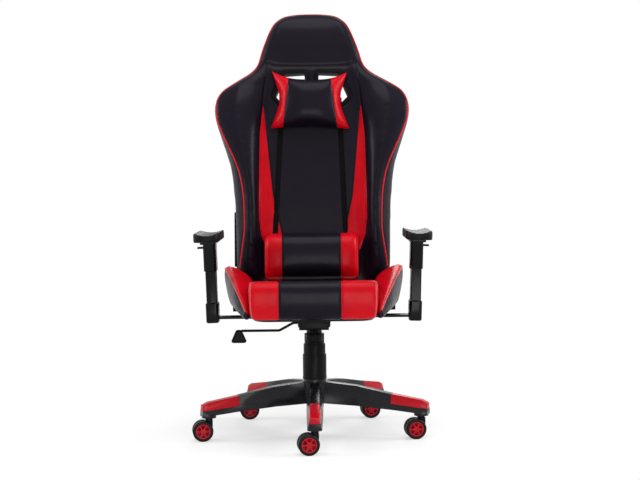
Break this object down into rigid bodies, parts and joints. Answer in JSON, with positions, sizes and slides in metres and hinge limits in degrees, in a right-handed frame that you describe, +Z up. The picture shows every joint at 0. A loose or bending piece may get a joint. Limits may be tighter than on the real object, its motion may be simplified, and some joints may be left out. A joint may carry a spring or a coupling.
{
  "type": "gaming chair",
  "caption": "High-backed office and gaming chair with wing bolsters, head and lumbar pillows, height-adjustable armrests, reclining back, gas lift and a star base on twin-wheel casters.",
  "frame": {"origin": "on the floor, on the axis of the gas column", "axes": "+Z up; the sitter faces -Y; the sitter's left hand is on +X"},
  "size_m": [0.6839, 0.6931, 1.2417],
  "materials": {
    "black_leatherette": "satin",
    "red_leatherette": "satin",
    "black_plastic": "matte",
    "red_plastic": "satin",
    "white_plastic": "matte",
    "caster_wheel": "satin",
    "arm_pad": "matte",
    "black_steel": "satin",
    "bright_steel": "satin",
    "elastic_strap": "matte"
  },
  "bodies": {
    "base": {"star_base": "black_plastic", "leg_caps": "red_plastic", "gas_standpipe": "black_steel", "standpipe_bush": "white_plastic", "thrust_bearing": "bright_steel", "dust_cover_lower": "black_plastic"},
    "piston": {"piston_rod": "bright_steel", "retaining_clip": "bright_steel"},
    "cover_middle": {"dust_cover_middle": "black_plastic"},
    "lift": {"gas_tube": "bright_steel", "dust_cover_upper": "black_plastic", "tilt_housing": "black_steel", "tension_spring": "black_steel"},
    "lever_pivot": {"lever_bush": "black_plastic"},
    "lever": {"lever_rod": "black_steel", "lever_paddle": "black_plastic"},
    "seat": {"tilt_plate": "black_steel", "tilt_pin": "bright_steel", "seat_bolts": "bright_steel", "seat_frame": "black_steel", "seat_cushion": "black_leatherette", "seat_bolster_left": "red_leatherette", "seat_bolster_right": "red_leatherette", "arm_bracket_left": "black_steel", "arm_bracket_right": "black_steel", "arm_sleeve_left": "black_plastic", "arm_sleeve_right": "black_plastic", "recliner_left": "black_steel", "recliner_right": "black_steel", "hinge_cover_left": "black_plastic", "hinge_cover_right": "black_plastic"},
    "knob": {"tension_knob": "black_plastic"},
    "back": {"back_frame": "black_steel", "backrest": "black_leatherette", "harness_bezels": "black_plastic", "head_pillow": "black_leatherette", "pillow_straps": "elastic_strap", "lumbar_pillow": "black_leatherette"},
    "recline_handle": {"recline_lever": "black_plastic"},
    "arm_left": {"arm_post_left": "black_plastic"},
    "arm_top_left": {"arm_pad_left": "arm_pad"},
    "arm_button_left": {"arm_trigger_left": "black_plastic"},
    "arm_right": {"arm_post_right": "black_plastic"},
    "arm_top_right": {"arm_pad_right": "arm_pad"},
    "arm_button_right": {"arm_trigger_right": "black_plastic"},
    "caster_1": {"caster_1_frame": "black_plastic"},
    "wheel_1_a": {"caster_1_wheel_a": "caster_wheel"},
    "wheel_1_b": {"caster_1_wheel_b": "caster_wheel"},
    "caster_2": {"caster_2_frame": "black_plastic"},
    "wheel_2_a": {"caster_2_wheel_a": "caster_wheel"},
    "wheel_2_b": {"caster_2_wheel_b": "caster_wheel"},
    "caster_3": {"caster_3_frame": "black_plastic"},
    "wheel_3_a": {"caster_3_wheel_a": "caster_wheel"},
    "wheel_3_b": {"caster_3_wheel_b": "caster_wheel"},
    "caster_4": {"caster_4_frame": "black_plastic"},
    "wheel_4_a": {"caster_4_wheel_a": "caster_wheel"},
    "wheel_4_b": {"caster_4_wheel_b": "caster_wheel"},
    "caster_5": {"caster_5_frame": "black_plastic"},
    "wheel_5_a": {"caster_5_wheel_a": "caster_wheel"},
    "wheel_5_b": {"caster_5_wheel_b": "caster_wheel"}
  },
  "joints": [
    {"name": "seat_swivel", "type": "hinge", "parent": "base", "child": "piston", "pos_m": [0, 0, 0.08], "axis": [0, 0, 1], "continuous": true},
    {"name": "gas_lift", "type": "slide", "parent": "piston", "child": "lift", "axis": [0, 0, 1], "range_m": [-0.06, 0.04]},
    {"name": "cover_slide", "type": "slide", "parent": "base", "child": "cover_middle", "axis": [0, 0, 1], "range_m": [-0.03, 0.02]},
    {"name": "lever_lift", "type": "hinge", "parent": "lift", "child": "lever_pivot", "pos_m": [-0.0405, -0.005, 0.321], "axis": [0, 1, 0], "range_deg": [0, 5], "stiffness_Nm_per_rad": 2, "springref_deg": -17.19},
    {"name": "tilt_lock_slide", "type": "slide", "parent": "lever_pivot", "child": "lever", "axis": [-1, 0, 0], "range_m": [0, 0.012]},
    {"name": "seat_tilt", "type": "hinge", "parent": "lift", "child": "seat", "pos_m": [0, -0.045, 0.322], "axis": [-1, 0, 0], "range_deg": [0, 12], "stiffness_Nm_per_rad": 160, "springref_deg": -17.19, "deforming": ["tension_spring"]},
    {"name": "tension_turn", "type": "hinge", "parent": "seat", "child": "knob", "pos_m": [0, -0.075, 0.29], "axis": [0, 0, 1], "continuous": true},
    {"name": "recline", "type": "hinge", "parent": "seat", "child": "back", "pos_m": [0, 0.19, 0.395], "axis": [-1, 0, 0], "range_deg": [0, 55]},
    {"name": "recline_release", "type": "hinge", "parent": "back", "child": "recline_handle", "pos_m": [-0.23, 0.19, 0.395], "axis": [-1, 0, 0], "range_deg": [0, 12], "stiffness_Nm_per_rad": 6, "springref_deg": -14.32},
    {"name": "arm_height_left", "type": "slide", "parent": "seat", "child": "arm_left", "axis": [0.0314, 0, 0.9995], "range_m": [-0.05, 0.01]},
    {"name": "arm_pad_swivel_left", "type": "hinge", "parent": "arm_left", "child": "arm_top_left", "pos_m": [0.29741, -0.015, 0.56088], "axis": [0.0314, 0, 0.9995], "range_deg": [-20, 20]},
    {"name": "arm_trigger_left", "type": "hinge", "parent": "arm_left", "child": "arm_button_left", "pos_m": [0.30478, 0, 0.54064], "axis": [0, -1, 0], "range_deg": [0, 8], "stiffness_Nm_per_rad": 0.5, "springref_deg": -11.46},
    {"name": "arm_height_right", "type": "slide", "parent": "seat", "child": "arm_right", "axis": [-0.0314, 0, 0.9995], "range_m": [-0.05, 0.01]},
    {"name": "arm_pad_swivel_right", "type": "hinge", "parent": "arm_right", "child": "arm_top_right", "pos_m": [-0.29741, -0.015, 0.56088], "axis": [-0.0314, 0, 0.9995], "range_deg": [-20, 20]},
    {"name": "arm_trigger_right", "type": "hinge", "parent": "arm_right", "child": "arm_button_right", "pos_m": [-0.30478, 0, 0.54064], "axis": [0, 1, 0], "range_deg": [0, 8], "stiffness_Nm_per_rad": 0.5, "springref_deg": -11.46},
    {"name": "caster_1_swivel", "type": "hinge", "parent": "base", "child": "caster_1", "pos_m": [0, -0.315, 0.065], "axis": [0, 0, 1], "continuous": true},
    {"name": "wheel_1_a_roll", "type": "hinge", "parent": "caster_1", "child": "wheel_1_a", "pos_m": [-0.01783, -0.3175, 0.029], "axis": [0.1392, -0.9903, 0], "continuous": true},
    {"name": "wheel_1_b_roll", "type": "hinge", "parent": "caster_1", "child": "wheel_1_b", "pos_m": [-0.01783, -0.3175, 0.029], "axis": [0.1392, -0.9903, 0], "continuous": true},
    {"name": "caster_2_swivel", "type": "hinge", "parent": "base", "child": "caster_2", "pos_m": [0.29958, -0.09734, 0.065], "axis": [0, 0, 1], "continuous": true},
    {"name": "wheel_2_a_roll", "type": "hinge", "parent": "caster_2", "child": "wheel_2_a", "pos_m": [0.28176, -0.09985, 0.029], "axis": [0.1392, -0.9903, 0], "continuous": true},
    {"name": "wheel_2_b_roll", "type": "hinge", "parent": "caster_2", "child": "wheel_2_b", "pos_m": [0.28176, -0.09985, 0.029], "axis": [0.1392, -0.9903, 0], "continuous": true},
    {"name": "caster_3_swivel", "type": "hinge", "parent": "base", "child": "caster_3", "pos_m": [0.18515, 0.25484, 0.065], "axis": [0, 0, 1], "continuous": true},
    {"name": "wheel_3_a_roll", "type": "hinge", "parent": "caster_3", "child": "wheel_3_a", "pos_m": [0.16733, 0.25233, 0.029], "axis": [0.1392, -0.9903, 0], "continuous": true},
    {"name": "wheel_3_b_roll", "type": "hinge", "parent": "caster_3", "child": "wheel_3_b", "pos_m": [0.16733, 0.25233, 0.029], "axis": [0.1392, -0.9903, 0], "continuous": true},
    {"name": "caster_4_swivel", "type": "hinge", "parent": "base", "child": "caster_4", "pos_m": [-0.18515, 0.25484, 0.065], "axis": [0, 0, 1], "continuous": true},
    {"name": "wheel_4_a_roll", "type": "hinge", "parent": "caster_4", "child": "wheel_4_a", "pos_m": [-0.20298, 0.25233, 0.029], "axis": [0.1392, -0.9903, 0], "continuous": true},
    {"name": "wheel_4_b_roll", "type": "hinge", "parent": "caster_4", "child": "wheel_4_b", "pos_m": [-0.20298, 0.25233, 0.029], "axis": [0.1392, -0.9903, 0], "continuous": true},
    {"name": "caster_5_swivel", "type": "hinge", "parent": "base", "child": "caster_5", "pos_m": [-0.29958, -0.09734, 0.065], "axis": [0, 0, 1], "continuous": true},
    {"name": "wheel_5_a_roll", "type": "hinge", "parent": "caster_5", "child": "wheel_5_a", "pos_m": [-0.31741, -0.09985, 0.029], "axis": [0.1392, -0.9903, 0], "continuous": true},
    {"name": "wheel_5_b_roll", "type": "hinge", "parent": "caster_5", "child": "wheel_5_b", "pos_m": [-0.31741, -0.09985, 0.029], "axis": [0.1392, -0.9903, 0], "continuous": true}
  ],
  "couplings": [
    {"joint": "cover_slide", "follows": "gas_lift", "ratio": 0.5}
  ]
}
